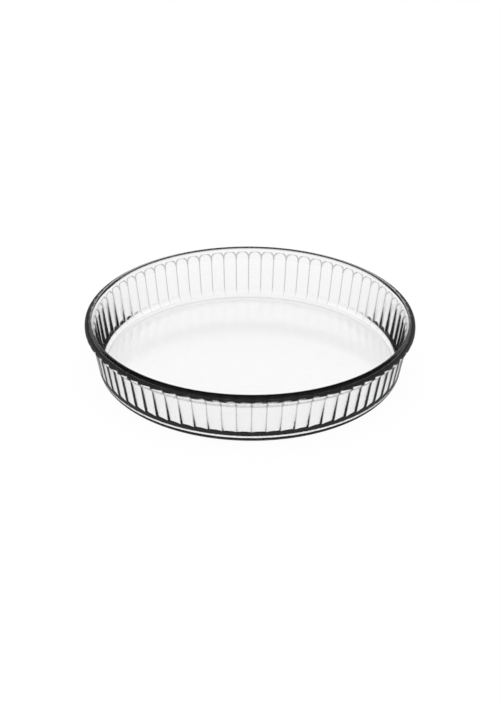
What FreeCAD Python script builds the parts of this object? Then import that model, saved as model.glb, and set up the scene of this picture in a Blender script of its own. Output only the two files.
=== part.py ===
"""Clear pressed-glass pie dish: one piece of glass, fluted inside, with a rounded rim.

Millimetres, +Z up. The origin is the middle of the foot, on the surface that the dish stands on.
"""
import FreeCAD
import Part
import math
import os

# Overall sizes
rim_diameter = 260.0
dish_height = 44.5
rim_overhang = 3.55  # how far the rim stands out past the wall, at the rim's widest height

# The straight wall, and the base between the foot and the inside floor
wall_lean = 9.65  # degrees out from upright
wall_thickness = 4.3  # level, through a ridge
base_thickness = 3.4
outer_corner_radius = 6.0
inner_corner_bevel = 2.0

# The foot ring that the dish stands on, and the shallow hollow inside it
foot_ring_width = 4.0
foot_edge_slope = 25.0  # degrees up from the table, between the foot ring and the outer corner
foot_recess_depth = 0.3
foot_recess_slope_width = 6.0

# The rim: a quarter-round nosing outside, and a lip that flares a little more than the wall inside
rim_round_radius = 4.1
rim_underside_slope = 30.0  # degrees down towards the wall
rim_edge_bevel = 0.6
lip_height = 6.3
lip_lean = 19.0  # degrees out from upright

# The flutes: round hollows pressed side by side into the inside of the wall, with arched tops
flute_count = 70
flute_depth = 1.5
flute_ridge = 0.3  # width of the ridge between two flutes at their lower ends
flute_arch_height = 5.0  # over which a flute runs out to nothing at the top
flute_top_gap = 1.2  # from the top of a flute to the start of the lip
flute_floor_gap = 0.3  # from the inside corner's bevel to the bottom of a flute

# Cutters are made this much longer than what they cut, and points this close are the same
cut_overrun = 5.0
same_point = 1e-6

# Values worked out from the sizes above
lean = math.radians(wall_lean)
flare = math.radians(lip_lean)
underside = math.radians(rim_underside_slope)
foot_edge = math.radians(foot_edge_slope)
rim_radius = rim_diameter / 2
floor_height = foot_recess_depth + base_thickness
widest_height = dish_height - rim_round_radius
wall_foot_radius = rim_radius - rim_overhang - widest_height * math.tan(lean)
lip_start_height = dish_height - lip_height
flute_bottom = floor_height + inner_corner_bevel + flute_floor_gap
flute_top = lip_start_height - flute_top_gap
full_turn = 360.0
flute_pitch = full_turn / flute_count
wedge_share = 0.985  # of the pitch: how much of its own sector a flute cutter may fill

# Directions in the section, as (outwards, upwards): mostly the way that a face looks
UP = (0.0, 1.0)
DOWN = (0.0, -1.0)
OUT = (1.0, 0.0)
wall_out = (math.cos(lean), -math.sin(lean))
lip_in = (-math.cos(flare), math.sin(flare))
lip_up = (math.sin(flare), math.cos(flare))
rim_under = (math.sin(underside), -math.cos(underside))
foot_under = (math.sin(foot_edge), -math.cos(foot_edge))


def add(point, direction, distance):
    """Return the point that lies a distance from another along a direction."""
    return (point[0] + direction[0] * distance, point[1] + direction[1] * distance)


def halfway(first, second):
    """Return the unit direction midway between two directions."""
    total = (first[0] + second[0], first[1] + second[1])
    size = math.hypot(*total)
    return (total[0] / size, total[1] / size)


def along(normal, point):
    """Return how far a point lies along a normal."""
    return normal[0] * point[0] + normal[1] * point[1]


def crossing(first_normal, first_distance, second_normal, second_distance):
    """Return the point where two lines meet, each given as a normal and its distance along it."""
    a, b = first_normal
    c, d = second_normal
    scale = a * d - b * c
    return ((first_distance * d - second_distance * b) / scale,
            (a * second_distance - c * first_distance) / scale)


class Outline:
    """A half section in (radius, height), drawn point by point with lines and arcs."""

    def __init__(self, start):
        self.start = start
        self.here = start
        self.edges = []

    @staticmethod
    def vector(point):
        return FreeCAD.Vector(point[0], 0, point[1])

    def line(self, point):
        """Draw a straight line to a point, or nothing where the outline is already there."""
        if math.dist(self.here, point) > same_point:
            ends = map(self.vector, (self.here, point))
            self.edges.append(Part.LineSegment(*ends).toShape())
        self.here = point

    def arc(self, centre, radius, first, last):
        """Draw a line to the arc's beginning, then the arc from one direction to another."""
        begin = add(centre, first, radius)
        middle = add(centre, halfway(first, last), radius)
        end = add(centre, last, radius)
        self.line(begin)
        self.edges.append(Part.Arc(*map(self.vector, (begin, middle, end))).toShape())
        self.here = end

    def turned(self, centre, axis):
        """Close the outline and turn it about an axis through a centre into a solid."""
        self.line(self.start)
        face = Part.Face(Part.Wire(self.edges))
        return face.revolve(self.vector(centre), self.vector(axis), full_turn)


def outer_wall_point(height):
    return (wall_foot_radius + height * math.tan(lean), height)


def inner_wall_point(height):
    return (wall_foot_radius - wall_thickness + height * math.tan(lean), height)


def draw_foot(outline):
    """Draw the hollow under the base, the foot ring, its sloping edge and the rounded outer corner."""
    wall_reach = along(wall_out, outer_wall_point(0)) - outer_corner_radius
    corner = crossing(wall_out, wall_reach, UP, outer_corner_radius)
    edge_reach = along(foot_under, corner) + outer_corner_radius
    ring_outside = crossing(foot_under, edge_reach, UP, 0)
    ring_inside = add(ring_outside, OUT, -foot_ring_width)
    outline.line((ring_inside[0] - foot_recess_slope_width, foot_recess_depth))
    outline.line(ring_inside)
    outline.line(ring_outside)
    outline.arc(corner, outer_corner_radius, foot_under, wall_out)


def draw_rim(outline):
    """Draw the sloping underside of the rim, its rounded nosing, its top and the flared lip."""
    widest = (rim_radius, widest_height)
    wall_reach = along(wall_out, outer_wall_point(0))
    outline.line(crossing(wall_out, wall_reach, rim_under, along(rim_under, widest)))
    outline.line(widest)
    outline.arc((rim_radius - rim_round_radius, widest_height), rim_round_radius, OUT, UP)
    lip_start = inner_wall_point(lip_start_height)
    lip_edge = crossing(lip_in, along(lip_in, lip_start), UP, dish_height)
    outline.line(add(lip_edge, OUT, rim_edge_bevel))
    outline.line(add(lip_edge, lip_up, -rim_edge_bevel))
    outline.line(lip_start)


def draw_inside(outline):
    """Draw the inside of the wall, the bevelled corner and the floor."""
    outline.line(inner_wall_point(floor_height + inner_corner_bevel))
    outline.line(add(inner_wall_point(floor_height), OUT, -inner_corner_bevel))
    outline.line((0, floor_height))


def plain_dish():
    """Turn the whole section into a dish with no flutes."""
    outline = Outline((0, foot_recess_depth))
    draw_foot(outline)
    draw_rim(outline)
    draw_inside(outline)
    return outline.turned((0, 0), UP)


def flute_radius():
    """Return the radius of a flute's round hollow, from its depth and the pitch at its lower end."""
    ring = inner_wall_point(flute_bottom)[0]
    half_width = ring * math.sin(math.radians(flute_pitch / 2)) - flute_ridge / 2
    wall_sag = ring - math.sqrt(ring ** 2 - half_width ** 2)
    depth = flute_depth + wall_sag
    return (half_width ** 2 + depth ** 2) / (2 * depth)


def rod(radius, first, last):
    """Make a round rod in the hollow of the dish, whose side nearest the glass runs through two points."""
    length = math.dist(first, last)
    way = ((last[0] - first[0]) / length, (last[1] - first[1]) / length)
    inwards = (-way[1], way[0])
    middle = add(halfway_point(first, last), inwards, radius)
    reach = dish_height + cut_overrun
    outline = Outline(add(middle, way, -reach))
    outline.line(add(outline.here, inwards, radius))
    outline.line(add(outline.here, way, 2 * reach))
    outline.line(add(middle, way, reach))
    return outline.turned(middle, way)


def halfway_point(first, second):
    return ((first[0] + second[0]) / 2, (first[1] + second[1]) / 2)


def sector():
    """Make the wedge of the dish's inside, as high as the flutes, that holds one cutter clear of the next."""
    half_angle = math.radians(flute_pitch * wedge_share / 2)
    reach = rim_radius / math.cos(half_angle)
    corners = [FreeCAD.Vector(0, 0, flute_bottom)]
    for angle in (-half_angle, half_angle):
        corners.append(FreeCAD.Vector(reach * math.cos(angle), reach * math.sin(angle), flute_bottom))
    base = Part.Face(Part.makePolygon(corners + corners[:1]))
    return base.extrude(FreeCAD.Vector(0, 0, lip_start_height - flute_bottom))


def flute_cutter():
    """Make one flute's cutter, on +X: what two rods share, one up the wall and one leaning in at the top."""
    radius = flute_radius()
    low = add(inner_wall_point(flute_bottom), wall_out, flute_depth)
    high = add(inner_wall_point(flute_top - flute_arch_height), wall_out, flute_depth)
    shaft = rod(radius, low, high)
    arch = rod(radius, high, inner_wall_point(flute_top))
    return shaft.common(arch).common(sector())


def glass_dish():
    """Press the flutes into the inside of the plain dish, with a ridge at the front (-Y)."""
    cutter = flute_cutter()
    cutters = []
    for index in range(flute_count):
        flute = cutter.copy()
        turn = (index + 0.5) * flute_pitch - full_turn / 4
        flute.rotate(FreeCAD.Vector(0, 0, 0), FreeCAD.Vector(0, 0, 1), turn)
        cutters.append(flute)
    return plain_dish().cut(cutters)


def main():
    os.makedirs("parts", exist_ok=True)
    dish = glass_dish()
    dish.exportStep("parts/glass_dish.step")
    box = dish.optimalBoundingBox(False)
    print("solids", len(dish.Solids), "valid", dish.isValid(), "faces", len(dish.Faces))
    print("size", round(box.XLength, 2), round(box.YLength, 2), round(box.ZLength, 2))
    print("glass volume", round(dish.Volume / 1000.0, 1), "cm3")


main()
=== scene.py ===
# %% [markdown]
# # A clear pressed-glass pie dish
# The imported CAD model is loaded first as a fixed frame, in metres. The rim's width and the dish's
# height are read from it, so the dish that is made here fills the same box as the part that was
# measured. Its curves are finer than those of the CAD solid, because glass shows every
# facet, and its flutes and rim are shaped by how they bend the light.

# %% Load the frame
import math
import bpy
import numpy as np
from mathutils import Matrix, Vector


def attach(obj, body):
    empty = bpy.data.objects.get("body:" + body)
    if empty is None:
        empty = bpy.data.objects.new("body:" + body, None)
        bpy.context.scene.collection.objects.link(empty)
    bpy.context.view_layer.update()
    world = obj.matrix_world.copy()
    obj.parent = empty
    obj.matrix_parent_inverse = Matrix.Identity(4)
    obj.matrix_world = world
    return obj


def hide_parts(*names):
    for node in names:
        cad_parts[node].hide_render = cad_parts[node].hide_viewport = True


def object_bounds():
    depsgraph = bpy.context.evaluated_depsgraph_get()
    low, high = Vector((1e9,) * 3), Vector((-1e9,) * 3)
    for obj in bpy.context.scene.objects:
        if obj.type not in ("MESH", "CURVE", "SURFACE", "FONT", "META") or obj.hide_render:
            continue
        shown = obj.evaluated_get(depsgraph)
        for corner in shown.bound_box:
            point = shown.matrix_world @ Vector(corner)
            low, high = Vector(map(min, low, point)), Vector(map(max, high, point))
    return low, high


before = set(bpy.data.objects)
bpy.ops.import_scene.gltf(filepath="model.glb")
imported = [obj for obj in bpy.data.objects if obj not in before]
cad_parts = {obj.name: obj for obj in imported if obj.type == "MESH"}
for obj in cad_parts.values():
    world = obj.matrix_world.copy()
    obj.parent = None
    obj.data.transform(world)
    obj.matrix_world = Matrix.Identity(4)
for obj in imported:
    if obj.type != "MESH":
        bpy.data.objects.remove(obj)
cad_low, cad_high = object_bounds()
MM = 0.001
rim_radius = min(cad_high.x, cad_high.y, -cad_low.x, -cad_low.y) / MM
dish_height = cad_high.z / MM
print("CAD box, mm:", [round(v / MM, 2) for v in (*cad_low, *cad_high)])

# %% [markdown]
# ## The section of the dish
# A pressed dish is a solid of revolution with flutes added. In Blender it could be a Screw modifier on
# a drawn profile, but the flutes need a mesh whose points can be pushed one by one. So the profile is
# worked out here as a list of points, each with the direction that the glass surface looks in, and
# turned by hand later on.

# %% Small helpers for the plane of the section
same_point = 0.01


def unit(angle):
    """A direction in the section, from its angle to level."""
    return np.array((math.cos(angle), math.sin(angle)))


def tangent_centre(radius, first, first_point, second, second_point):
    """The centre of a round that lies a radius in front of two faces, or behind them if it is negative."""
    sides = np.array((first, second))
    reach = (np.dot(first, first_point) + radius, np.dot(second, second_point) + radius)
    return np.linalg.solve(sides, reach)


class Section:
    """Collects points of the profile and the way that the surface looks at each."""

    def __init__(self):
        self.points = []
        self.facing = []

    def add(self, point, facing):
        """Add a point, unless the profile is already there: faces of no size would spoil the shading."""
        if not self.points or math.dist(self.points[-1], point) > same_point:
            self.points.append(np.array(point))
            self.facing.append(facing)

    def line(self, end, facing, steps):
        start = self.points[-1]
        for share in np.linspace(0, 1, steps + 1)[1:]:
            self.add(start + (np.array(end) - start) * share, facing)

    def round(self, centre, radius, first, last, steps, hollow=False):
        """An arc from one direction to another, the shorter way; a hollow one looks at its centre."""
        begin = math.atan2(first[1], first[0])
        turn = math.atan2(first[0] * last[1] - first[1] * last[0], np.dot(first, last))
        for share in np.linspace(0, 1, steps + 1):
            way = unit(begin + turn * share)
            self.add(np.array(centre) + way * radius, -way if hollow else way)


# %% The leaning wall and the floor, in millimetres
wall_foot_radius = 119.6
wall_lean = math.radians(9.65)
wall_thickness = 4.3
floor_height = 2.9
UP = np.array((0.0, 1.0))
DOWN = np.array((0.0, -1.0))
OUT = np.array((1.0, 0.0))
wall_out = np.array((math.cos(wall_lean), -math.sin(wall_lean)))
wall_in = -wall_out


def outer_wall(height):
    return np.array((wall_foot_radius + height * math.tan(wall_lean), height))


def inner_wall(height):
    return np.array((wall_foot_radius - wall_thickness + height * math.tan(wall_lean), height))


print("inside of the wall where it meets the floor, mm:", inner_wall(floor_height).round(2))

# %% [markdown]
# ## Drawing the profile
# The list runs from the middle of the floor, up the inside, over the rim and down the outside to the
# middle of the underside. The rows are close together where the surface bends, because a bend in glass
# shows as a dark or bright line, and far apart where it is straight. The lip at the top of the inside
# flares more than the wall.

# %% Inside of the dish: floor, corner, wall and flared lip
inner_corner = 2.0
corner_margin = 1.0
half_way_out = 0.5
floor_steps = 2
lip_start = 36.8
lip_lean = math.radians(24.0)
lip_blend = 3.0
lip_in = np.array((-math.cos(lip_lean), math.sin(lip_lean)))
foot_end = 11.5
arch_start = 34.5
flute_clear = 41.8
corner_steps = 9
foot_steps = 12
wall_steps = 7
arch_steps = 4
blend_steps = 4
lip_steps = 14


def draw_inside(section):
    """Close rows up to foot_end, wide ones up to arch_start, and close ones again up to flute_clear."""
    corner = tangent_centre(inner_corner, wall_in, inner_wall(0), UP, (0, floor_height))
    section.add((0.0, floor_height), UP)
    section.line((corner[0] * half_way_out, floor_height), UP, 1)
    section.line((corner[0] - corner_margin, floor_height), UP, floor_steps)
    section.round(corner, inner_corner, DOWN, wall_out, corner_steps, hollow=True)
    lip_point = inner_wall(lip_start)
    blend = tangent_centre(-lip_blend, wall_in, lip_point, lip_in, lip_point)
    section.line(inner_wall(foot_end), wall_in, foot_steps)
    section.line(inner_wall(arch_start), wall_in, wall_steps)
    section.line(blend + wall_in * lip_blend, wall_in, arch_steps)
    section.round(blend, lip_blend, wall_in, lip_in, blend_steps)
    arch_top = section.points[-1]
    rise = flute_clear - arch_top[1]
    section.line(arch_top + np.array((rise * math.tan(lip_lean), rise)), lip_in, lip_steps)


section = Section()
draw_inside(section)
fluted_rows = len(section.points)
print("rows on the inside, where the flutes are:", fluted_rows)

# %% Rim: lip's edge, round nosing, short side, sloping underside and hollow cove
rim_inner_round = 0.9
rim_round = 4.1
rim_side = 1.5
rim_lower_round = 1.0
rim_underside = math.radians(45.0)
rim_cove = 2.0
under_rim = np.array((math.sin(rim_underside), -math.cos(rim_underside)))
lip_end_steps = 2
lip_edge_steps = 6
nosing_steps = 14
lower_steps = 5
cove_steps = 4


def draw_rim(section):
    edge = tangent_centre(-rim_inner_round, UP, (0, dish_height), lip_in, inner_wall(lip_start))
    section.line(edge + lip_in * rim_inner_round, lip_in, lip_end_steps)
    section.round(edge, rim_inner_round, lip_in, UP, lip_edge_steps)
    widest_height = dish_height - rim_round
    section.round((rim_radius - rim_round, widest_height), rim_round, UP, OUT, nosing_steps)
    lower = np.array((rim_radius - rim_lower_round, widest_height - rim_side))
    section.round(lower, rim_lower_round, OUT, under_rim, lower_steps)
    under_point = lower + under_rim * rim_lower_round
    cove = tangent_centre(rim_cove, wall_out, outer_wall(0), under_rim, under_point)
    section.round(cove, rim_cove, -under_rim, wall_in, cove_steps, hollow=True)


draw_rim(section)
print("rim meets the wall at, mm:", section.points[-1].round(2))

# %% Outside of the wall, foot ring and the shallow hollow under the base
outer_corner = 6.0
recess_radius = 107.0
recess_depth = 0.3
recess_blend = 14.0
outer_wall_steps = 3
outer_corner_steps = 12
foot_ring_steps = 2
recess_steps = 8
underside_steps = 2


def draw_foot(section):
    corner = tangent_centre(-outer_corner, wall_out, outer_wall(0), DOWN, (0, 0))
    section.line(corner + wall_out * outer_corner, wall_out, outer_wall_steps)
    section.round(corner, outer_corner, wall_out, DOWN, outer_corner_steps)
    section.line((recess_radius + recess_blend / 2, 0), DOWN, foot_ring_steps)
    for share in np.linspace(0, 1, recess_steps + 1)[1:]:
        rise = recess_depth * (3 * share ** 2 - 2 * share ** 3)
        section.add((recess_radius + recess_blend * (0.5 - share), rise), DOWN)
    section.line((recess_radius * half_way_out, recess_depth), DOWN, underside_steps)
    section.line((0.0, recess_depth), DOWN, 1)


draw_foot(section)
profile = np.array(section.points)
facing = np.array(section.facing)
print("rows of the whole profile:", len(profile))

# %% [markdown]
# ## The flutes
# Each flute is a long round hollow, like the print of a finger drawn up the wall: deep near the floor
# and shallow on the flared lip, where it ends in a low arch. A hollow is the shape that two balls and
# the cone between them would press into soft glass. A boolean would need dozens of cutters and would
# leave slivers, so each point of the wall is pushed into the glass until it lies on that shape.

# %% The two balls of a flute, in millimetres
flute_count = 70
pitch = 2 * math.pi / flute_count
flute_low_width = 10.1
flute_low_depth = 2.2
flute_low_centre = 5.0
flute_high_width = 10.2
flute_high_depth = 0.75
flute_high_centre = 36.5


def press_radius(width, depth):
    return (width ** 2 / 4 + depth ** 2) / (2 * depth)


low_radius = press_radius(flute_low_width, flute_low_depth)
high_radius = press_radius(flute_high_width, flute_high_depth)
low_ball = inner_wall(flute_low_centre) + wall_in * (low_radius - flute_low_depth)
high_ball = inner_wall(flute_high_centre) + wall_in * (high_radius - flute_high_depth)
print("lower ball, mm:", low_ball.round(2), "radius", round(low_radius, 2))
print("upper ball, mm:", high_ball.round(2), "radius", round(high_radius, 2))

# %% Distance from a point to the pressing shape
def distance_to_press(radius, side, height):
    """Below 0 inside the shape; side is how far the point is from the flute's middle plane."""
    length = np.linalg.norm(high_ball - low_ball)
    axis = (high_ball - low_ball) / length
    over = (radius - low_ball[0], height - low_ball[1])
    along = over[0] * axis[0] + over[1] * axis[1]
    across = np.hypot(over[0] * axis[1] - over[1] * axis[0], side)
    slope = (high_radius - low_radius) / length
    rise = math.sqrt(1 - slope ** 2)
    where = along * rise + across * slope
    shaft = across * rise - along * slope - low_radius
    low_end = np.hypot(along, across) - low_radius
    high_end = np.hypot(along - length, across) - high_radius
    return np.where(where < 0, low_end, np.where(where > length * rise, high_end, shaft))


middle_distance = distance_to_press(low_ball[0], 0, low_ball[1])
print("the lower ball's middle, from the skin of the shape, mm:", middle_distance.round(2))

# %% Depth of the hollows; the run is a slope, in millimetres of depth for each of height
flute_top = 41.0
flute_high_run = 0.9
end_round = 0.2
least_depth = -2.0
most_depth = 4.0
halvings = 40


def soft_least(first, second, width):
    """The lesser of two values, with the corner between them rounded off."""
    share = np.clip(0.5 + 0.5 * (second - first) / width, 0, 1)
    return second * (1 - share) + first * share - width * share * (1 - share)


def press_depth(rows, angle):
    """How far each point has to be pressed in to lie on the shape, at an angle from a flute's middle.

    The depth is found by halving a range. On the lip it is measured as if the wall went straight on.
    """
    height = profile[rows, 1][:, None]
    on_lip = height > arch_start
    straight_on = inner_wall(0)[0] + height * math.tan(wall_lean)
    radius = np.where(on_lip, straight_on, profile[rows, 0][:, None])
    into = np.where(on_lip, wall_out, -facing[rows])
    shallow = np.full((len(radius), len(angle)), least_depth)
    deep = np.full_like(shallow, most_depth)
    for _ in range(halvings):
        middle = (shallow + deep) / 2
        reach = radius + into[:, :1] * middle
        level = height + into[:, 1:] * middle
        inside = distance_to_press(reach * np.cos(angle), reach * np.sin(angle), level) < 0
        shallow = np.where(inside, middle, shallow)
        deep = np.where(inside, deep, middle)
    return soft_least(shallow, (flute_top - height) * flute_high_run, end_round)


wall_rows = np.flatnonzero((profile[:fluted_rows, 1] > foot_end) & (profile[:fluted_rows, 1] < arch_start))
print("depth in the middle of a flute, up the wall, mm:", press_depth(wall_rows, np.zeros(1))[:, 0].round(2))

# %% [markdown]
# At the bottom a flute runs out on a sloping ledge, which goes right round the dish and thickens the
# corner. The ledge could be drawn in the profile, but then the flutes would cut through it. So it is a
# limit on their depth, and it stands proud of the wall where that limit is below 0.

# %% Ridges and ledge; the run is a slope again, and within a flute it is steeper by flute_low_steep
ridge_round = 0.05
ledge_depth = 2.3
flute_bottom = 3.9
flute_low_run = 0.5
flute_low_steep = 1.8


def finished_depth(rows, pressed):
    """The depth with the ridges rounded off and the ledge at the bottom."""
    soft = np.clip(0.5 + 0.5 * pressed / ridge_round, 0, 1)
    depth = np.maximum(pressed * soft + ridge_round * soft * (1 - soft), 0)
    height = profile[rows, 1][:, None]
    upright = np.abs(facing[rows][:, :1])
    ledge = np.maximum(height - flute_bottom, 0) * flute_low_run - ledge_depth * upright
    return soft_least(depth, np.where(ledge > 0, ledge * flute_low_steep, ledge), end_round)


middle_row = int(np.argmin(np.abs(profile[:fluted_rows, 1] - dish_height / 2)))
middle_depths = finished_depth([middle_row], press_depth([middle_row], np.array((0.0, pitch / 2))))[0]
print("depth half-way up, in a flute and on a ridge, mm:", middle_depths.round(2))

# %% [markdown]
# The sharp edges of the flutes, and the top of the rim, carry painted shade: fine grey lines in the
# glass's colour, which stand in for the dark that the light bent at these edges would show. They could
# be painted in a texture, but the mesh already knows where they are. So each point gets a value that
# the glass reads later on: 1 on an edge and 0 away from it.

# %% Painted shade lines along the ridges and arches
# Widths and depths of the painted shade lines, in millimetres and shares of the pitch
edge_depth = 0.3
land_depth = 0.3
ridge_share = 0.05
edge_fade = 6.0
rim_painted_shade_width = 0.6


def painted_shade_line(rows, angle, pressed):
    """Painted shade: 1 on the sharp edges of the flutes, 0 away from them, and faded out towards the floor.
    """
    from_ridge = (0.5 - np.abs(angle) / pitch) / ridge_share
    away = np.where(pressed > 0, np.minimum(pressed / edge_depth, from_ridge), -pressed / land_depth)
    fade = np.clip((profile[rows, 1][:, None] - flute_bottom) / edge_fade, 0, 1)
    return np.clip(1 - away, 0, 1) * fade


both_angles = np.array((0.0, pitch / 2))
middle_painted_shade = painted_shade_line([middle_row], both_angles, press_depth([middle_row], both_angles))[0]
print("line half-way up, in a flute and on a ridge:", middle_painted_shade.round(2))

# %% [markdown]
# ## Turning the profile
# The fluted rows need many points round the dish, closest together at the sharp ridges. The plain rows
# need half as many. Faces with five corners join the two, on the flat floor and high on the lip, where
# nothing bends much.

# %% Rings of points, as shares of the pitch from the middle of a flute
half_shares = np.array((0.0, 0.085, 0.17, 0.25, 0.32, 0.38, 0.43, 0.47))
fine_shares = np.concatenate(((-0.5,), -half_shares[:0:-1], half_shares))
plain_shares = fine_shares[::2]
first_fine = 4
last_fine = fluted_rows - 2
ring_sizes = [len(shares) * flute_count for shares in (fine_shares, plain_shares)]
print("points round a fluted row and a plain row:", ring_sizes)


def is_fine(row):
    return first_fine <= row <= last_fine


def ring(row):
    """One turn of points and painted shade values for a row of the profile, with a ridge at the front, on
    -Y.
    """
    shares = fine_shares if is_fine(row) else plain_shares
    radius, height = (np.full(len(shares), value) for value in profile[row])
    # Painted shade on the top of the rim: rows above its top edge get 1
    edge = np.full(len(shares), float(profile[row][1] > dish_height - rim_painted_shade_width))
    if is_fine(row):
        pressed = press_depth([row], shares * pitch)
        depth = finished_depth([row], pressed)[0]
        # Painted shade along the sharp edges of the flutes
        edge = painted_shade_line([row], shares * pitch, pressed)[0]
        radius = radius - facing[row][0] * depth
        height = height - facing[row][1] * depth
    turns = np.arange(flute_count)[:, None] + 0.5 + shares
    angle = (turns * pitch - math.pi / 2).ravel()
    radius = np.tile(radius, flute_count)
    height = np.tile(height, flute_count)
    points = np.stack((radius * np.cos(angle), radius * np.sin(angle), height), 1)
    return points, np.tile(edge, flute_count)


# %% Faces between the rings
def band(below, above):
    """Faces between two rings of point numbers, where one may have twice as many points as the other."""
    after, over = np.roll(below, -1), np.roll(above, -1)
    if len(below) == len(above):
        return np.stack((below, above, over, after), 1).tolist()
    if len(above) > len(below):
        return np.stack((below, above[::2], above[1::2], np.roll(above[::2], -1), after), 1).tolist()
    return np.stack((below[::2], above, over, np.roll(below[::2], -1), below[1::2]), 1).tolist()


def turned_dish():
    """The whole dish as one closed mesh: a point in the middle of the floor, rings, a point underneath."""
    points, edges, numbers = [], [], []
    total = 0
    for row in range(1, len(profile) - 1):
        turn, edge = ring(row)
        numbers.append(total + np.arange(len(turn)))
        points.append(turn)
        edges.append(edge)
        total += len(turn)
    faces = []
    for below, above in zip(numbers, numbers[1:]):
        faces += band(below, above)
    first, last = numbers[0], numbers[-1]
    faces += np.stack((np.full(len(first), total), first, np.roll(first, -1)), 1).tolist()
    faces += np.stack((np.full(len(last), total + 1), np.roll(last, -1), last), 1).tolist()
    ends = [(0, 0, profile[0][1]), (0, 0, profile[-1][1])]
    mesh = bpy.data.meshes.new("glass_dish_turned")
    mesh.from_pydata((np.vstack(points + [ends]) * MM).tolist(), [], faces)
    mesh.shade_smooth()
    # Painted shade: the grey-line values are stored on the points for the glass to read
    painted_edge_shade = mesh.attributes.new("painted_edge_shade", "FLOAT", "POINT")
    painted_edge_shade.data.foreach_set("value", np.concatenate(edges + [(0, 0)]))
    return mesh


# %% The dish, in the place of the CAD solid
dish = bpy.data.objects.new("glass_dish_fluted", turned_dish())
bpy.context.scene.collection.objects.link(dish)
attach(dish, "root")
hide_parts("glass_dish")
print("dish mesh:", len(dish.data.vertices), "points,", len(dish.data.polygons), "faces")

# %% [markdown]
# ## Shader maths
# A node tree is easier to read as a formula than as a drawing in code. This class stands for one
# socket, and a sum or product of two of them adds the Math node that does it.

# %% Sockets as values
class Flow:
    """A socket of a node tree. Sums, differences, products and comparisons of flows add Math nodes."""

    def __init__(self, tree, socket=None):
        self.tree = tree
        self.socket = socket

    def node(self, kind, settings=(), inputs=(), output=0):
        """Add a node: its settings come first, then the values or links of its sockets."""
        made = self.tree.nodes.new(kind)
        for name, value in dict(settings).items():
            setattr(made, name, value)
        for name, value in dict(inputs).items():
            if isinstance(value, Flow):
                self.tree.links.new(value.socket, made.inputs[name])
            else:
                made.inputs[name].default_value = value
        return Flow(self.tree, made.outputs[output] if made.outputs else None)

    def maths(self, operation, first, second):
        return self.node("ShaderNodeMath", {"operation": operation}, {0: first, 1: second})

    def grey(self):
        """The value as a colour."""
        return self.node("ShaderNodeCombineColor", inputs={0: self, 1: self, 2: self})

    def __add__(self, other):
        return self.maths("ADD", self, other)

    __radd__ = __add__

    def __sub__(self, other):
        return self.maths("SUBTRACT", self, other)

    def __rsub__(self, other):
        return self.maths("SUBTRACT", other, self)

    def __mul__(self, other):
        return self.maths("MULTIPLY", self, other)

    __rmul__ = __mul__

    def __gt__(self, other):
        return self.maths("GREATER_THAN", self, other)


# %% [markdown]
# ## Clear glass
# The glass is colourless and fire-polished. What shows of it is how it bends what lies behind, so the
# material is a refracting one with the refractive index of pressed glass. A real pressing is never
# quite true: long waves from the mould and a fine grain bend the light a little, which a Bump node
# gives. Along the edges of the flutes and on the top of the rim the glass is painted a little grey:
# painted shade, which stands in for light that these edges, finer than the mesh, would turn away.

# %% Glass of the dish
refractive_index = 1.5
# How dark the painted shade lines make the glass
painted_shade_strength = 0.85
wave_scale = 110.0
wave_detail = 1.0
wave_height = 0.012
grain_scale = 900.0
grain_detail = 2.0
grain_height = 0.06
polish = 0.02


def clear_glass():
    material = bpy.data.materials.new("clear_pressed_glass")
    material.use_nodes = True
    tree = material.node_tree
    flow = Flow(tree)
    shader = tree.nodes["Principled BSDF"]
    shader.inputs["IOR"].default_value = refractive_index
    shader.inputs["Transmission Weight"].default_value = 1.0
    place = flow.node("ShaderNodeTexCoord", output="Object")
    # Painted shade: the glass's colour is greyer along the flute edges and the rim top
    edge = flow.node("ShaderNodeAttribute", {"attribute_name": "painted_edge_shade"}, output="Fac")
    colour = (1 - painted_shade_strength * edge).grey()
    wave_inputs = {"Vector": place, "Scale": wave_scale, "Detail": wave_detail}
    waves = flow.node("ShaderNodeTexNoise", inputs=wave_inputs)
    grain_inputs = {"Vector": place, "Scale": grain_scale, "Detail": grain_detail}
    grain = flow.node("ShaderNodeTexNoise", inputs=grain_inputs)
    height = waves * wave_height + grain * grain_height
    bump = flow.node("ShaderNodeBump", inputs={"Strength": 1.0, "Distance": MM, "Height": height})
    tree.links.new(colour.socket, shader.inputs["Base Color"])
    tree.links.new((grain * polish).socket, shader.inputs["Roughness"])
    tree.links.new(bump.socket, shader.inputs["Normal"])
    return material


dish.data.materials.append(clear_glass())
print("glass:", len(dish.data.materials[0].node_tree.nodes), "nodes")

# %% [markdown]
# ## White table and studio
# Glass on white is lit by the white itself: the table and the low surroundings glow evenly, and the
# room overhead is dark. Light that goes straight through the glass shows the white. Light that is
# turned back inside the glass is taken as coming from the dark room, which draws the dark edges. The
# Light Path node tells the two apart, by counting how often a ray was mirrored and whether it went
# through the glass.

# %% Light that reaches the camera by way of the glass
turned_light = 0.02
mirrored_light = 0.2
at_least_one = 0.5


def brightness(flow, mirrorings, mirror):
    """1 for plain sight and straight through the glass, and dim for light that was mirrored.

    Light that went through the glass is dark after more than this number of mirrorings. Light that was
    mirrored by the outside of the glass alone is as bright as mirror says.
    """
    bounces = flow.node("ShaderNodeLightPath", output="Glossy Depth")
    passes = flow.node("ShaderNodeLightPath", output="Transmission Depth")
    through = passes > at_least_one
    turned = (bounces > mirrorings) * through
    mirrored = (bounces > at_least_one) * (1 - through)
    return 1 - (1 - turned_light) * turned - (1 - mirror) * mirrored


# %% [markdown]
# The table glows, and a small share of it is plain white paper under a soft lamp. The glow alone would
# lose the dish's shadow, and paper alone would turn grey around it.

# %% Table
table_half = 20.0
table_gap = 0.1 * MM
table_mirrorings = 0.5
shadow_share = 0.04
lit_level = 0.5
white = (1.0, 1.0, 1.0, 1.0)


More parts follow.
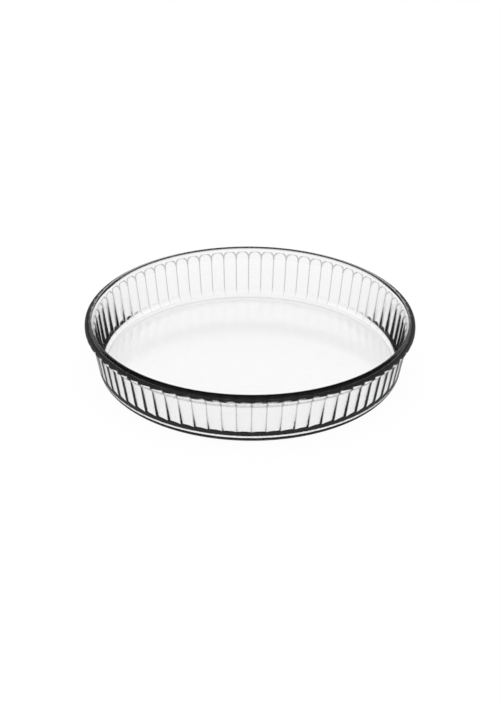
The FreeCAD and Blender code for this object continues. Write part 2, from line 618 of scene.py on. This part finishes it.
def glowing_paper():
    material = bpy.data.materials.new("white_table")
    material.use_nodes = True
    tree = material.node_tree
    tree.nodes.clear()
    flow = Flow(tree)
    level = brightness(flow, table_mirrorings, mirrored_light)
    glow = flow.node("ShaderNodeEmission", inputs={"Color": level.grey(), "Strength": 1.0})
    paper = flow.node("ShaderNodeBsdfDiffuse", inputs={"Color": white})
    share = (level > lit_level) * shadow_share
    mixed = flow.node("ShaderNodeMixShader", inputs={0: share, 1: glow, 2: paper})
    flow.node("ShaderNodeOutputMaterial", inputs={"Surface": mixed})
    return material


def white_table():
    mesh = bpy.data.meshes.new("white_table")
    sides = ((-1, -1), (1, -1), (1, 1), (-1, 1))
    mesh.from_pydata([(x * table_half, y * table_half, 0) for x, y in sides], [], [(0, 1, 2, 3)])
    mesh.materials.append(glowing_paper())
    table = bpy.data.objects.new("white_table", mesh)
    table.location.z = -table_gap
    bpy.context.scene.collection.objects.link(table)


white_table()
print("table: white, with", shadow_share, "of it open to the shadow")

# %% [markdown]
# One wide soft lamp hangs over the table and gives the paper its light and the dish its soft shadow. A
# small lamp would give a hard shadow. The glass doesn't mirror it, because a lamp's image would be a
# bright patch on the base.

# %% Soft lamp overhead
lamp_height = 2.0
lamp_width = 3.0
lamp_energy = 55.0


def soft_lamp():
    light = bpy.data.lights.new("soft_lamp", "AREA")
    light.size = lamp_width
    light.energy = lamp_energy
    lamp = bpy.data.objects.new("soft_lamp", light)
    lamp.location.z = lamp_height
    lamp.visible_glossy = False
    lamp.visible_transmission = False
    bpy.context.scene.collection.objects.link(lamp)


soft_lamp()
print("soft lamp:", lamp_width, "m wide,", lamp_height, "m up")

# %% [markdown]
# The room is white up to some way above the table, as a backdrop would be, and dark overhead. The base
# of the dish mirrors the upper part of that white. So a band there isn't dimmed in the mirror image,
# and the base stays white.

# %% Room; heights are those of a direction, from 0 level to 1 straight up
backdrop_top = 0.57
mirrored_band = 0.42
ceiling_light = 0.02
room_mirrorings = 1.5


def studio_room():
    world = bpy.data.worlds.new("studio_room")
    bpy.context.scene.world = world
    world.use_nodes = True
    tree = world.node_tree
    tree.nodes.clear()
    flow = Flow(tree)
    direction = flow.node("ShaderNodeTexCoord", output="Generated")
    height = flow.node("ShaderNodeSeparateXYZ", inputs={0: direction}, output="Z")
    ceiling = height > backdrop_top
    in_band = (height > mirrored_band) - ceiling
    mirror = mirrored_light + (1 - mirrored_light) * in_band
    level = (1 - (1 - ceiling_light) * ceiling) * brightness(flow, room_mirrorings, mirror)
    sky = flow.node("ShaderNodeBackground", inputs={"Color": level.grey(), "Strength": 1.0})
    flow.node("ShaderNodeOutputWorld", inputs={"Surface": sky})


studio_room()
print("room: white up to", round(math.degrees(math.asin(backdrop_top))), "degrees, dark overhead")

# %% [markdown]
# ## Camera
# The camera stands where the photograph was taken from: its height, distance and lens were fitted to
# the outlines of the rim, the wall and the foot. It aims at the middle of the rim and is then turned a
# little, so that the rim's middle falls where the photograph has it.

# %% Camera of the photograph, in metres and pixels
picture_width, picture_height = 500, 717
rim_middle_x, rim_middle_y = 250.12, 318.25
lens_pixels = 1348.7
camera_elevation = math.radians(27.54)
camera_azimuth = math.radians(-0.78)
camera_roll = math.radians(-0.469)
camera_distance = 1.066
aim_height = 0.04018
sight_limit = 100


def photograph_view():
    """The camera's place, and its right, up and forward directions as the rows of a matrix."""
    flat = math.cos(camera_elevation)
    towards_camera = Vector((flat * math.sin(camera_azimuth), -flat * math.cos(camera_azimuth),
                             math.sin(camera_elevation)))
    place = Vector((0, 0, aim_height)) + towards_camera * camera_distance
    right = (-towards_camera).cross(Vector((0, 0, 1))).normalized()
    level = Matrix((right, right.cross(-towards_camera), -towards_camera))
    off_middle = Vector(((rim_middle_x - picture_width / 2) / lens_pixels,
                         (picture_height / 2 - rim_middle_y) / lens_pixels, 1))
    turn = Vector((0, 0, 1)).rotation_difference(off_middle).to_matrix()
    return place, turn @ Matrix.Rotation(camera_roll, 3, "Z") @ level


def photograph_camera():
    place, view = photograph_view()
    lens = bpy.data.cameras.new("photograph_camera")
    lens.lens = lens_pixels / picture_height * lens.sensor_width
    lens.clip_end = sight_limit
    camera = bpy.data.objects.new("photograph_camera", lens)
    bpy.context.scene.collection.objects.link(camera)
    turned = Matrix((view[0], view[1], -view[2])).transposed()
    camera.matrix_world = Matrix.Translation(place) @ turned.to_4x4()
    bpy.context.scene.camera = camera
    return camera


print("camera at, m:", [round(v, 3) for v in photograph_camera().matrix_world.translation])

# %% [markdown]
# ## Rendering settings
# Light has to cross many glass faces in the fluted wall, so it is followed for more bounces than usual.

# %% Finish
light_bounces = 32
studio = bpy.context.scene
studio.view_settings.view_transform = "Standard"
studio.cycles.max_bounces = light_bounces
studio.cycles.transmission_bounces = light_bounces
studio.cycles.glossy_bounces = light_bounces
